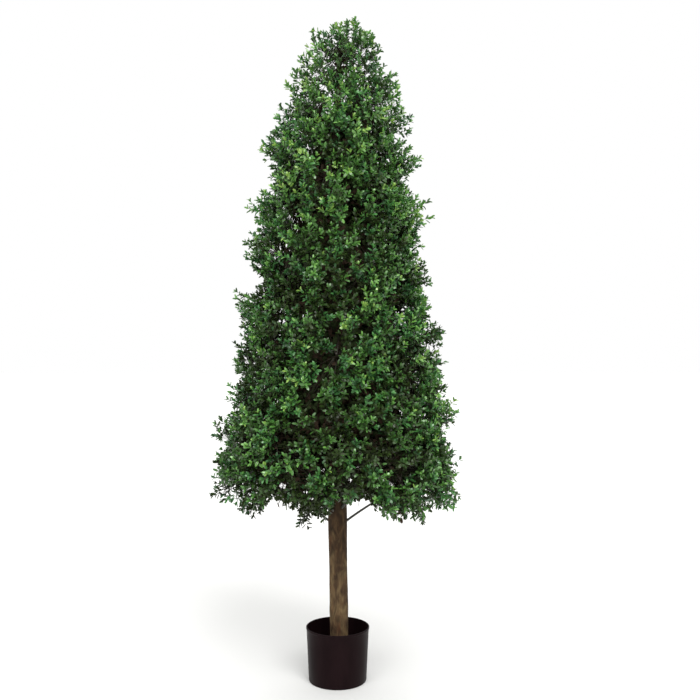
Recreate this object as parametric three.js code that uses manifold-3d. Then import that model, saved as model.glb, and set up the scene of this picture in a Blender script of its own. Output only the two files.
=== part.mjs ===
// An artificial boxwood topiary, clipped to a tall cone, on a natural wood trunk cast into a plastic pot.
// Millimetres, +Z up. The origin is at the centre of the pot's flat underside.
// +X is the plant's right and -Y its front.
import * as THREE from "three";
import { mergeVertices } from "three/addons/utils/BufferGeometryUtils.js";
import Module from "manifold-3d";

const wasm = await Module();
wasm.setup();

// Driving dimensions
const totalHeight = 1830;
const gap = 0.3; // clear space that is kept between pieces which touch on the real plant

const pot = {
  height: 144,
  rimRadius: 86,
  footRadius: 78.3,
  wall: 2.4,
  floor: 4,
  footRound: 3,
  lipHeight: 5,
  lipStandOut: 1.2,
  sides: 36,
};

const fill = { belowRim: 61, dish: 3 }; // the cast fill, and how far its surface sinks towards the trunk

const trunk = {
  footRadius: 24.2,
  crownRadius: 25.6, // where it goes into the foliage
  tipRadius: 8,
  clearHeight: 440, // from the pot's underside to the first boughs
  top: 1662,
  knots: 0.9, // how far the surface wanders from round
  sides: 12,
  steps: 15,
};

const bough = {
  count: 6,
  leaves: 421, // height at which the lowest boughs leave the trunk
  lifts: [0, 27, 35, 0, 31, 39], // how far above it each one leaves
  reach: 112, // from the trunk's axis to the tip
  rise: 66,
  rootRadius: 2.9,
  tipRadius: 2.2,
  sides: 6,
  steps: 4,
};

const crown = {
  foot: 452,
  top: totalHeight,
  reach: 356,
  taper: 0.47, // the power that bends the cone's side outwards
  waist: 11, // how far the side falls in below its middle and swells above it
  waistFrom: 750,
  waistTo: 1800,
  tuckHeight: 65, // over this height the side turns in at the foot
  tuck: 0.2,
  lean: 26, // how far the top stands to the right of the trunk
  leanFrom: 1380,
};

// From the foot up: the masses that stand round the trunk, the twigs of each in rows and columns,
// those that hang under it, and the blades that stand straight out of its pad
const tiers = [
  { name: "skirt", floor: 452, count: 6, turn: 0, rows: 2, columns: 2, hanging: 1, blades: 6 },
  { name: "lower", floor: 716, count: 6, turn: 30, rows: 2, columns: 2, hanging: 0, blades: 7 },
  { name: "middle", floor: 972, count: 5, turn: 12, rows: 2, columns: 2, hanging: 0, blades: 7 },
  { name: "upper", floor: 1218, count: 5, turn: 48, rows: 2, columns: 2, hanging: 0, blades: 5 },
  { name: "shoulder", floor: 1450, count: 4, turn: 20, rows: 2, columns: 2, hanging: 0, blades: 5 },
];
const crest = { floor: 1668, coreTop: 1806, coreShare: 0.72, twigs: 5, blades: 9, leader: 40 };

// The seams between tiers rise and fall round the crown and drop towards its side,
// and the seams between the masses of a tier slant across it.
const seam = { wave: 15, waves: 3, droop: 0.4, slant: 0.16 };

// A mass is a stem, a curved pad of dense growth that ends it, and the twigs and leaves that stand
// out of the pad. Shares are of the crown's radius at the same height.
const mass = {
  padOut: 0.86,
  padIn: 0.74,
  padRound: 0.045,
  padClear: 3, // between the pad and the edges of its space
  padBumps: 0.03,
  stemFrom: 0.12, // where the stem leaves the trunk, as a share of the tier's height
  stemRadius: 4,
  twigRootRadius: 3.4,
  twigTipRadius: 1.7,
  twigRise: 58,
  twigInset: 0.8, // how near to the pad's edges the twigs begin, as a share of its half size
  bladeInset: 0.75, // the same for the blades
  bladeTilt: 0.9, // how far a blade leans along the pad for each step out of it
  proud: 14, // how far a twig may stand out of the cone's side or fall short of it
  hangs: 70, // how far below its tier a skirt mass may reach
  margin: 0.8, // between a mass and the edge of its own space
};
const padMiddle = (mass.padOut + mass.padIn) / 2;

const leaf = { length: 60, width: 34, thickness: 3.2, waist: 0.56, sunk: 4, spread: 52 };

const degrees = Math.PI / 180;
const fullTurn = 2 * Math.PI;
const goldenShare = (Math.sqrt(5) - 1) / 2;

function seededRandom(seed) {
  let state = seed >>> 0;
  return () => {
    state = (state + 0x6d2b79f5) >>> 0;
    let mixed = Math.imul(state ^ (state >>> 15), state | 1);
    mixed ^= mixed + Math.imul(mixed ^ (mixed >>> 7), mixed | 61);
    return ((mixed ^ (mixed >>> 14)) >>> 0) / 4294967296;
  };
}

// A number between -size and size
const within = (random, size) => (2 * random() - 1) * size;

// The same surface with only its positions, and its shared vertices merged
function bareCopy(geometry) {
  const bare = new THREE.BufferGeometry();
  bare.setAttribute("position", geometry.getAttribute("position"));
  if (geometry.index) bare.setIndex(geometry.index);
  return mergeVertices(bare, 1e-4);
}

function solidOf(geometry) {
  const merged = bareCopy(geometry);
  const surface = new wasm.Mesh({
    numProp: 3,
    vertProperties: merged.getAttribute("position").array,
    triVerts: new Uint32Array(merged.index.array),
  });
  return new wasm.Manifold(surface);
}

// The largest closed body, so that loose scraps are dropped and sealed hollows are filled
function oneBody(solid) {
  const bodies = solid.decompose();
  return bodies.reduce((best, body) => (body.volume() > best.volume() ? body : best));
}

function geometryOf(solid) {
  const { vertProperties, triVerts } = solid.getMesh();
  const geometry = new THREE.BufferGeometry();
  geometry.setAttribute("position", new THREE.BufferAttribute(vertProperties, 3));
  geometry.setIndex(new THREE.BufferAttribute(triVerts, 1));
  geometry.computeVertexNormals();
  return geometry;
}

const around = (angle, radius, z) =>
  new THREE.Vector3(radius * Math.cos(angle), radius * Math.sin(angle), z);

// A closed cylinder bent along a curve, with its own radius at each share of the length
function limb(curve, radiusAt, sides, steps) {
  const geometry = new THREE.CylinderGeometry(1, 1, 1, sides, steps);
  const { normals, binormals } = curve.computeFrenetFrames(steps, false);
  const place = geometry.getAttribute("position");
  for (let i = 0; i < place.count; i++) {
    const step = Math.round((place.getY(i) + 0.5) * steps);
    const share = step / steps;
    const radius = radiusAt(share, Math.atan2(place.getZ(i), place.getX(i)));
    const spot = curve
      .getPointAt(share)
      .addScaledVector(normals[step], place.getX(i) * radius)
      .addScaledVector(binormals[step], -place.getZ(i) * radius);
    place.setXYZ(i, spot.x, spot.y, spot.z);
  }
  return geometry;
}

const tapering = (from, to) => (share) => from + (to - from) * share;

// A LatheGeometry turns about Y, and the plant stands along Z
function turned(profile, sides) {
  const points = profile.map(([radius, height]) => new THREE.Vector2(radius, height));
  return new THREE.LatheGeometry(points, sides).rotateX(Math.PI / 2);
}

function potGeometry() {
  const { height, rimRadius, footRadius, wall, floor, footRound, lipHeight, lipStandOut } = pot;
  const wallTop = rimRadius - lipStandOut;
  const halfRound = footRound * (1 - Math.SQRT1_2);
  const soft = lipHeight / 4;
  const profile = [
    [0, 0],
    [footRadius - footRound, 0],
    [footRadius - halfRound, halfRound],
    [footRadius, footRound],
    [wallTop, height - lipHeight],
    [rimRadius, height - lipHeight + soft / 2],
    [rimRadius, height - soft],
    [rimRadius - soft, height],
    [wallTop - wall + soft / 2, height],
    [wallTop - wall, height - soft],
    [footRadius - wall, floor],
    [0, floor],
  ];
  return turned(profile, pot.sides);
}

function innerPotRadius(z) {
  const rise = (z - pot.floor) / (pot.height - pot.floor);
  const topRadius = pot.rimRadius - pot.lipStandOut - pot.wall;
  const footRadius = pot.footRadius - pot.wall;
  return footRadius + (topRadius - footRadius) * rise;
}

// The facets of a round wall cut inside its true radius by this share
const facetShare = 1 - Math.cos(Math.PI / pot.sides);

function fillSolid() {
  const foot = pot.floor + gap;
  const surface = pot.height - fill.belowRim;
  const clearRadius = (z) => innerPotRadius(z) * (1 - facetShare) - gap;
  const profile = [
    [0, foot],
    [clearRadius(foot), foot],
    [clearRadius(surface), surface],
    [trunk.footRadius + 14, surface - fill.dish],
    [0, surface - fill.dish],
  ];
  return solidOf(turned(profile, pot.sides)).subtract(trunkSolid(gap));
}

// The trunk leans a little to the left as it rises out of the pot, and stands straight above that
const trunkCourse = new THREE.CatmullRomCurve3([
  new THREE.Vector3(4, 0, pot.floor + gap),
  new THREE.Vector3(3, -1, pot.height + 30),
  new THREE.Vector3(0, 0, trunk.clearHeight),
  new THREE.Vector3(-2, 2, 1000),
  new THREE.Vector3(0, 0, trunk.top),
]);

function trunkSolid(grown = 0) {
  const length = trunk.top - pot.floor;
  const clearShare = trunk.clearHeight / length;
  const radiusAt = (share, angle) => {
    const below = Math.min(share / clearShare, 1);
    const above = Math.max((share - clearShare) / (1 - clearShare), 0);
    const straight = trunk.footRadius + (trunk.crownRadius - trunk.footRadius) * below;
    const size = straight + (trunk.tipRadius - trunk.crownRadius) * above;
    const wander = Math.sin(3 * angle + 19 * share) + Math.sin(2 * angle - 43 * share);
    return size + (trunk.knots * wander * size) / trunk.footRadius / 2 + grown;
  };
  const course = grown
    ? new THREE.CatmullRomCurve3(withLongerEnds(trunkCourse.points, grown))
    : trunkCourse;
  return solidOf(limb(course, radiusAt, trunk.sides, trunk.steps));
}

function withLongerEnds(points, by) {
  const longer = points.map((point) => point.clone());
  longer[0].z -= by;
  longer[longer.length - 1].z += by;
  return longer;
}

const boughAngle = (number) => (number * fullTurn) / bough.count;

function boughCourse(number) {
  const angle = boughAngle(number);
  const start = bough.leaves + bough.lifts[number];
  return new THREE.QuadraticBezierCurve3(
    around(angle, 2, start - 8),
    around(angle, bough.reach * 0.55, start + bough.rise * 0.57),
    around(angle, bough.reach, start + bough.rise),
  );
}

function boughSolid(number) {
  const radiusAt = tapering(bough.rootRadius, bough.tipRadius);
  const whole = limb(boughCourse(number), radiusAt, bough.sides, bough.steps);
  return oneBody(solidOf(whole).subtract(trunkSolid(gap)));
}

// The cone's side: fallen in a little below its middle and swelling above it, rounded over to the tip,
// and tucked in at the foot
function crownRadius(z) {
  const rise = THREE.MathUtils.clamp((z - crown.foot) / (crown.top - crown.foot), 0, 1);
  const low = THREE.MathUtils.clamp((z - crown.foot) / crown.tuckHeight, 0, 1);
  const tucked = 1 - crown.tuck * (1 - low) ** 2;
  const along = THREE.MathUtils.clamp((z - crown.waistFrom) / (crown.waistTo - crown.waistFrom), 0, 1);
  const waist = crown.waist * Math.sin(fullTurn * along);
  return crown.reach * tucked * (1 - rise) ** crown.taper - waist;
}

// A spot of the crown, whose upper part stands a little to the right of the trunk
const crownLean = (z) => crown.lean * THREE.MathUtils.smoothstep(z, crown.leanFrom, crest.floor);
const onCrown = (angle, radius, z) =>
  around(angle, radius, z).add(new THREE.Vector3(crownLean(z), 0, 0));

// A leaf is a four-cornered blade, thickest at its waist, with its root at the origin, tip along +Y
function leafGeometry() {
  const geometry = new THREE.OctahedronGeometry(1);
  geometry.scale(leaf.width / 2, leaf.length / 2, leaf.thickness / 2);
  geometry.translate(0, leaf.length / 2, 0);
  const place = geometry.getAttribute("position");
  for (let i = 0; i < place.count; i++)
    if (Math.abs(place.getY(i) - leaf.length / 2) < 1) place.setY(i, leaf.waist * leaf.length);
  return geometry;
}

// Turns +Y to the direction and rolls the blade's face towards the second vector
function placedLeaf(root, direction, facing) {
  const along = direction.clone().normalize();
  const across = new THREE.Vector3().crossVectors(along, facing).normalize();
  const face = new THREE.Vector3().crossVectors(across, along);
  const matrix = new THREE.Matrix4().makeBasis(across, along, face).setPosition(root);
  return leafGeometry().applyMatrix4(matrix);
}

function everyPoint(geometry, test) {
  const place = geometry.getAttribute("position");
  const point = new THREE.Vector3();
  for (let i = 0; i < place.count; i++)
    if (!test(point.fromBufferAttribute(place, i))) return false;
  return true;
}

const seamShift = (angle, depth) => seam.wave * Math.sin(seam.waves * angle) + seam.droop * depth;

// The space that a mass keeps to: a slanted wedge of its tier, from just off the trunk outwards.
// Its spots are given by their share from the middle to the side edges, up the tier, and of the radius.
function spaceOf(tier, number) {
  const ceiling = tiers[tiers.indexOf(tier) + 1]?.floor ?? crest.floor;
  const halfAngle = Math.PI / tier.count;
  const middleHeight = (tier.floor + ceiling) / 2;
  const halfTall = (ceiling - tier.floor) / 2;
  const turnOf = (up) => tier.turn * degrees + number * 2 * halfAngle + seam.slant * up;
  const spot = (across, up, share, clear) => {
    const level = middleHeight + up * (halfTall - clear);
    const depth = crownRadius(level) * (1 - share);
    const rough = turnOf(up) - across * halfAngle;
    const z = level + seamShift(rough, depth);
    const radius = crownRadius(z) * share;
    return onCrown(turnOf(up) - across * (halfAngle - clear / radius), radius, z);
  };
  const holds = (point) => {
    const x = point.x - crownLean(point.z);
    const radius = Math.hypot(x, point.y);
    const angle = Math.atan2(point.y, x);
    const depth = crownRadius(point.z) - radius;
    const up = (point.z - seamShift(angle, depth) - middleHeight) / halfTall;
    const turn = angle - turnOf(up);
    const aside = Math.abs(Math.atan2(Math.sin(turn), Math.cos(turn)));
    const below = tier.hanging ? mass.hangs : 0;
    return (
      Math.hypot(point.x, point.y) > trunk.crownRadius + 3 &&
      radius * Math.sin(halfAngle - aside) > mass.margin &&
      up * halfTall > mass.margin - halfTall - below &&
      up * halfTall < halfTall - mass.margin
    );
  };
  return { spot, holds, floor: tier.floor, tall: 2 * halfTall, turn: turnOf(0) };
}

// A box bent round the trunk at an even depth under the cone's side, with its corners rounded off
function padGeometry(space, random) {
  const geometry = bareCopy(new THREE.BoxGeometry(2, 2, 2, 3, 1, 3));
  const place = geometry.getAttribute("position");
  for (let i = 0; i < place.count; i++) {
    const across = place.getX(i) * (1 - mass.padRound * place.getZ(i) ** 2);
    const up = place.getZ(i) * (1 - mass.padRound * place.getX(i) ** 2);
    const rounded = mass.padRound * (across ** 4 + up ** 4);
    const outer = place.getY(i) > 0;
    const share = outer ? mass.padOut - rounded : mass.padIn + rounded / 2;
    const spot = space.spot(across, up, share + within(random, mass.padBumps), mass.padClear);
    place.setXYZ(i, spot.x, spot.y, spot.z);
  }
  return geometry;
}

// A twig out of the pad to a leafy end: one leaf runs on from it and a pair stands at its sides
function twigPieces(root, target, random, holds) {
  const direction = target.clone().sub(root).normalize();
  const end = target.clone().addScaledVector(direction, leaf.sunk - leaf.length);
  const course = new THREE.LineCurve3(root, end);
  const radiusAt = tapering(mass.twigRootRadius, mass.twigTipRadius);
  const pieces = [limb(course, radiusAt, 3, 1)];
  const outwards = new THREE.Vector3(target.x, target.y, 0).normalize();
  const aside = new THREE.Vector3().crossVectors(direction, outwards);
  const facing = outwards.addScaledVector(aside, within(random, 1.2));
  const level = new THREE.Vector3().crossVectors(direction, facing).cross(direction).normalize();
  const spread = leaf.spread * degrees;
  [0, spread, -spread].forEach((turn, number) => {
    const back = number ? 8 * number + within(random, 3) : leaf.sunk;
    const wander = number ? within(random, 0.15) : 0;
    const heading = direction.clone().applyAxisAngle(level, turn + wander);
    const foot = end.clone().addScaledVector(direction, -back);
    const blade = placedLeaf(foot, heading, level);
    if (everyPoint(blade, holds)) pieces.push(blade);
  });
  return pieces;
}

// Leaves that stand straight out of the pad, spread over its face, each turned some way along it
function bladesOn(space, count, random) {
  const blades = [];
  for (let number = 0; number < count; number++) {
    const across = mass.bladeInset * (2 * (((number + 0.5) * goldenShare) % 1) - 1);
    const up = mass.bladeInset * ((2 * number + 1) / count - 1);
    const foot = space.spot(across, up, mass.padOut - 0.05, mass.padClear);
    const angle = Math.atan2(foot.y, foot.x);
    const outwards = around(angle, 1, 0);
    const way = within(random, 1.3) - across;
    const along = around(angle + Math.PI / 2, Math.sin(way), Math.cos(way) * (up > 0.3 ? -1 : 1));
    const heading = outwards.clone().addScaledVector(along, mass.bladeTilt);
    const blade = placedLeaf(foot, heading, outwards);
    if (everyPoint(blade, space.holds)) blades.push(blade);
  }
  return blades;
}

function fused(geometries) {
  return geometries.map(solidOf).reduce((whole, solid) => whole.add(solid));
}

// A twig's root in the pad and its leafy end on the cone's side, both as spots of the space
function twigEnds(tier, space, random) {
  const ends = [];
  const rise = mass.twigRise / (space.tall / 2);
  for (let row = 0; row < tier.rows; row++)
    for (let column = 0; column < tier.columns; column++) {
      const up = (2 * (row + 0.62 + within(random, 0.18))) / tier.rows - 1;
      const stagger = row % 2 ? 0.12 : -0.12;
      const sideways = (2 * column + 1) / tier.columns - 1;
      const across = mass.twigInset * sideways + stagger + within(random, 0.1);
      const rootUp = Math.max(up - rise, -mass.twigInset);
      const target = space.spot(across, Math.min(up, mass.twigInset), 1, leaf.width / 2);
      target.addScaledVector(around(space.turn, 1, 0), within(random, mass.proud));
      ends.push([space.spot(across * 0.8, rootUp, padMiddle, mass.padClear), target]);
    }
  for (let number = 0; number < tier.hanging; number++) {
    const across = within(random, 0.4);
    const root = space.spot(across, -mass.twigInset, padMiddle, mass.padClear);
    const target = root.clone().addScaledVector(around(space.turn, 1, 0), within(random, 40));
    ends.push([root, target.setZ(crown.foot - 16 - within(random, 12))]);
  }
  return ends;
}

function tierMass(tier, number) {
  const random = seededRandom(1009 * (tiers.indexOf(tier) + 1) + 31 * number);
  const space = spaceOf(tier, number);
  const end = space.spot(0, 0, padMiddle, 0);
  const course = tier.hanging
    ? courseOffBough(number, end)
    : courseOffTrunk(space.turn, space.floor + space.tall * mass.stemFrom, end);
  const rootRadius = tier.hanging ? bough.tipRadius : mass.stemRadius;
  const stem = limb(course, tapering(rootRadius, mass.twigRootRadius), 3, 2);
  const pieces = [padGeometry(space, random), stem, ...bladesOn(space, tier.blades, random)];
  for (const [root, target] of twigEnds(tier, space, random))
    pieces.push(...twigPieces(root, target, random, space.holds));
  return oneBody(fused(pieces).subtract(trunkSolid(gap)));
}

function courseOffTrunk(angle, height, end) {
  const start = around(angle, 2, height);
  const knee = start.clone().lerp(end, 0.5);
  knee.z += (end.z - start.z) * 0.1;
  return new THREE.QuadraticBezierCurve3(start, knee, end);
}

// A skirt stem begins just off the tip of its bough and first runs the same way
function courseOffBough(number, end) {
  const course = boughCourse(number);
  const way = course.getTangentAt(1);
  const start = course.getPointAt(1).addScaledVector(way, gap);
  const knee = start.clone().addScaledVector(way, start.distanceTo(end) / 2);
  return new THREE.QuadraticBezierCurve3(start, knee, end);
}

// A blunt dome whose foot follows the seam over the shoulder
function crestCore(foot) {
  const tall = crest.coreTop - foot;
  const rings = [0, 0.05, 0.38, 0.72, 0.92, 1].map((share) => foot + share * tall);
  const radii = rings.map((z) => crownRadius(z) * crest.coreShare);
  radii[0] = radii[rings.length - 1] = 0;
  const core = turned(rings.map((z, ring) => [radii[ring], z]), 9);
  const place = core.getAttribute("position");
  for (let i = 0; i < place.count; i++) {
    const [x, y, z] = [place.getX(i), place.getY(i), place.getZ(i)];
    const shift = seamShift(Math.atan2(y, x), crownRadius(z) - Math.hypot(x, y));
    const faded = (shift * (crest.coreTop - z)) / tall;
    place.setXYZ(i, x + crownLean(z), y, z + faded);
  }
  return core;
}

// The top of the crown, on a stem that stands on the trunk's tip, with one leader
function crestMass() {
  const random = seededRandom(7919);
  const foot = crest.floor + mass.padClear;
  const tall = crest.coreTop - foot;
  const centre = new THREE.Vector3(crown.lean, 0, foot + 0.5 * tall);
  const stemCourse = new THREE.LineCurve3(trunkCourse.getPointAt(1), centre);
  const stem = limb(stemCourse, tapering(trunk.tipRadius / 2, mass.twigRootRadius), 3, 2);
  const holds = (point) => {
    const x = point.x - crownLean(point.z);
    const depth = crownRadius(point.z) - Math.hypot(x, point.y);
    const level = point.z - seamShift(Math.atan2(point.y, x), depth);
    return level > crest.floor + mass.margin && point.z <= crown.top + gap;
  };
  const pieces = [crestCore(foot), stem];
  for (let number = 0; number < crest.blades; number++) {
    const angle = number * goldenShare * fullTurn;
    const share = (number + 0.5) / crest.blades;
    const z = foot + (0.2 + 0.7 * share) * tall;
    const root = onCrown(angle, crownRadius(z) * crest.coreShare * 0.9, z);
    const outwards = around(angle, 1, share);
    const along = around(angle + Math.PI / 2, within(random, 1), 0.6);
    const heading = outwards.clone().addScaledVector(along, mass.bladeTilt);
    const blade = placedLeaf(root, heading, outwards);
    if (everyPoint(blade, holds)) pieces.push(blade);
  }
  const targets = [new THREE.Vector3(crest.leader, 0, crown.top)];
  for (let number = 0; number < crest.twigs; number++) {
    const z = crest.floor + 62 + 56 * ((number * goldenShare) % 1);
    targets.push(onCrown((number * fullTurn) / crest.twigs, crownRadius(z), z));
  }
  for (const target of targets) pieces.push(...twigPieces(centre, target, random, holds));
  return oneBody(fused(pieces).subtract(trunkSolid(gap)));
}

const finish = (color, roughness) =>
  new THREE.MeshStandardMaterial({ color, roughness, metalness: 0, flatShading: true });

const materials = {
  bark: finish(0x5b442c, 0.85),
  stem: finish(0x4a4a36, 0.6),
  foliage: finish(0x2f6b2b, 0.5),
  pot: finish(0x231d1e, 0.45),
  fill: finish(0x1b1614, 0.95),
};

const topiary = new THREE.Group();

function addNode(name, geometry, material) {
  const node = new THREE.Mesh(geometry, material);
  node.name = name;
  topiary.add(node);
}

addNode("pot", potGeometry(), materials.pot);
addNode("pot_fill", geometryOf(fillSolid()), materials.fill);
addNode("trunk", geometryOf(trunkSolid()), materials.bark);
for (let number = 0; number < bough.count; number++)
  addNode(`bough_${number + 1}`, geometryOf(boughSolid(number)), materials.stem);
for (const tier of tiers)
  for (let number = 0; number < tier.count; number++)
    addNode(`${tier.name}_mass_${number + 1}`, geometryOf(tierMass(tier, number)), materials.foliage);
addNode("crest_mass", geometryOf(crestMass()), materials.foliage);

export default topiary;
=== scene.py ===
import math
import bpy
import numpy as np
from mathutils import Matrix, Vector, noise


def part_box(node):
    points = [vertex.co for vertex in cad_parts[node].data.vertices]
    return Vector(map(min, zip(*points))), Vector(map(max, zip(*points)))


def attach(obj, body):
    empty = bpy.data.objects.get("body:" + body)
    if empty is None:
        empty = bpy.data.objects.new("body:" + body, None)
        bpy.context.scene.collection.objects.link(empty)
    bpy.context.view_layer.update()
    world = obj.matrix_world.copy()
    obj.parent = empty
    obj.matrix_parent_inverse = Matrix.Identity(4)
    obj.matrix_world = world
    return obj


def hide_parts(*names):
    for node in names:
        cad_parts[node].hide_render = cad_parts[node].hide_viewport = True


# An artificial boxwood topiary: a tall cone of small glossy leaves on a bare wood trunk, cast into a
# black nursery pot. Metres, +Z up, the front of the plant towards -Y.

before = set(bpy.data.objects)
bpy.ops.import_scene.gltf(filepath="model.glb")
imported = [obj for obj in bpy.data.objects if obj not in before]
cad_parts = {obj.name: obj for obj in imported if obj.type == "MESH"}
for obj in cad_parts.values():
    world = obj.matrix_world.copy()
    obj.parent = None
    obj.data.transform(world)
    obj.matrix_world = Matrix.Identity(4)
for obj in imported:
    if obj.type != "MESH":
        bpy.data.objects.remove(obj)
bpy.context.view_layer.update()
random = np.random.default_rng(49)
goldenAngle = math.pi * (3 - math.sqrt(5))
massNodes = sorted(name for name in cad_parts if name.endswith("_mass") or "_mass_" in name)


# Camera and studio

camera = {"lens": 41.14, "sensor": 36, "place": (0.0335, -2.20, 0.84), "pitch": 1.47}

studio = {
    "air": 0.35,        # light from all around; the wall behind is seen as white
    "floor": "e8e8e6", "floorSize": 400, "lampsOff": 5,
    # Wide soft lamps: turn from the front towards the right and height, in degrees,
    # strength, and how wide they are seen, in degrees
    "lamps": {"key": (24, 44, 2.1, 32), "second": (-32, 38, 1.2, 42), "above": (0, 84, 0.8, 50),
              "backRight": (150, 48, 0.6, 50), "backLeft": (-150, 48, 0.6, 50)},
}


def hexColour(text):
    parts = [int(text[i:i + 2], 16) / 255 for i in (0, 2, 4)]
    linear = [p / 12.92 if p <= 0.04045 else ((p + 0.055) / 1.055) ** 2.4 for p in parts]
    return (*linear, 1)


def setInputs(node, inputs):
    # A node that is given as a value stands for its first output
    for name, value in inputs.items():
        if isinstance(value, bpy.types.Node):
            value = value.outputs[0]
        if isinstance(value, bpy.types.NodeSocket):
            node.id_data.links.new(value, node.inputs[name])
        else:
            node.inputs[name].default_value = value


def addNode(tree, kind, inputs=None, stops=None, **settings):
    made = tree.nodes.new("ShaderNode" + kind)
    for name, value in settings.items():
        setattr(made, name, value)
    setInputs(made, inputs or {})
    for number, (place, colour) in enumerate(stops or []):
        while len(made.color_ramp.elements) <= number:
            made.color_ramp.elements.new(1)
        made.color_ramp.elements[number].position = place
        made.color_ramp.elements[number].color = hexColour(colour)
    return made


def newMaterial(name, colour, roughness, ior=1.5, specular=0.5):
    material = bpy.data.materials.new(name)
    material.use_nodes = True
    shader = material.node_tree.nodes["Principled BSDF"]
    setInputs(shader, {"Base Color": hexColour(colour), "Roughness": roughness, "IOR": ior,
                       "Specular IOR Level": specular})
    material.diffuse_color = hexColour(colour)
    return material, material.node_tree, shader


def lookAt(thing, target):
    thing.rotation_euler = (Vector(target) - thing.location).to_track_quat("-Z", "Y").to_euler()


def makeStudio():
    bpy.ops.object.camera_add(location=camera["place"])
    eye = bpy.context.object
    eye.rotation_euler = (math.radians(90 + camera["pitch"]), 0, 0)
    eye.data.sensor_width = camera["sensor"]
    eye.data.lens = camera["lens"]
    scene = bpy.context.scene
    scene.camera = eye

    world = bpy.data.worlds.new("whiteStudio")
    world.use_nodes = True
    tree = world.node_tree
    lit = tree.nodes["Background"]
    setInputs(lit, {"Color": (1, 1, 1, 1), "Strength": studio["air"]})
    wall = addNode(tree, "Background", {"Color": (1, 1, 1, 1), "Strength": 1.0})
    path = addNode(tree, "LightPath")
    both = addNode(tree, "MixShader", {0: path.outputs["Is Camera Ray"], 1: lit, 2: wall})
    setInputs(tree.nodes["World Output"], {"Surface": both})
    scene.world = world
    scene.view_settings.view_transform = "Standard"

    for name, (turn, height, strength, width) in studio["lamps"].items():
        a, e = math.radians(turn), math.radians(height)
        place = Vector((math.sin(a) * math.cos(e), -math.cos(a) * math.cos(e), math.sin(e)))
        bpy.ops.object.light_add(type="SUN", location=place * studio["lampsOff"])
        light = bpy.context.object
        light.name = name
        light.data.energy = strength
        light.data.angle = math.radians(width)
        lookAt(light, (0, 0, 0))

    bpy.ops.mesh.primitive_plane_add(size=studio["floorSize"])
    floor = bpy.context.object
    floor.name = "floor"
    floor.data.materials.append(newMaterial("paleFloorPaint", studio["floor"], 0.9)[0])


# Finishes

def perMetre(size):
    # How often a pattern of this size in millimetres comes in a metre
    return 1000 / size


def makePotPlastic():
    # Blow-moulded black polyethylene: a satin near-black with a warm cast, faintly rippled at 22 mm
    material, tree, shader = newMaterial("mouldedPolyethylene", "140e0f", 0.4, 1.51, 0.05)
    place = addNode(tree, "TexCoord").outputs["Object"]
    drawn = addNode(tree, "Mapping", {"Vector": place, "Scale": (1, 1, 0.25)})
    flow = addNode(tree, "TexNoise", {"Vector": drawn, "Scale": perMetre(22.2), "Detail": 3})
    tint = addNode(tree, "ValToRGB", {"Fac": flow}, [(0.3, "150a0c"), (0.7, "1b0f11")])
    gloss = addNode(tree, "MapRange", {"Value": flow, "To Min": 0.34, "To Max": 0.5})
    grain = addNode(tree, "TexNoise", {"Vector": place, "Scale": perMetre(1.11), "Detail": 2})
    relief = addNode(tree, "Bump", {"Height": grain, "Strength": 0.12, "Distance": 0.0004})
    setInputs(shader, {"Base Color": tint, "Roughness": gloss, "Normal": relief})
    return material


def makeFillCement():
    # Dark cast cement with coarse sand: matt and blackish brown, mottled, its grains given as relief only
    material, tree, shader = newMaterial("castCement", "17110f", 0.92)
    place = addNode(tree, "TexCoord").outputs["Object"]
    grit = addNode(tree, "TexVoronoi", {"Vector": place, "Scale": perMetre(2.38)})
    paste = addNode(tree, "TexNoise", {"Vector": place, "Scale": perMetre(16.7), "Detail": 5})
    tint = addNode(tree, "ValToRGB", {"Fac": paste}, [(0.35, "120c0b"), (0.7, "2a221e")])
    relief = addNode(tree, "Bump", {"Height": grit, "Strength": 0.5, "Distance": 0.001})
    setInputs(shader, {"Base Color": tint, "Normal": relief})
    return material


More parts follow.
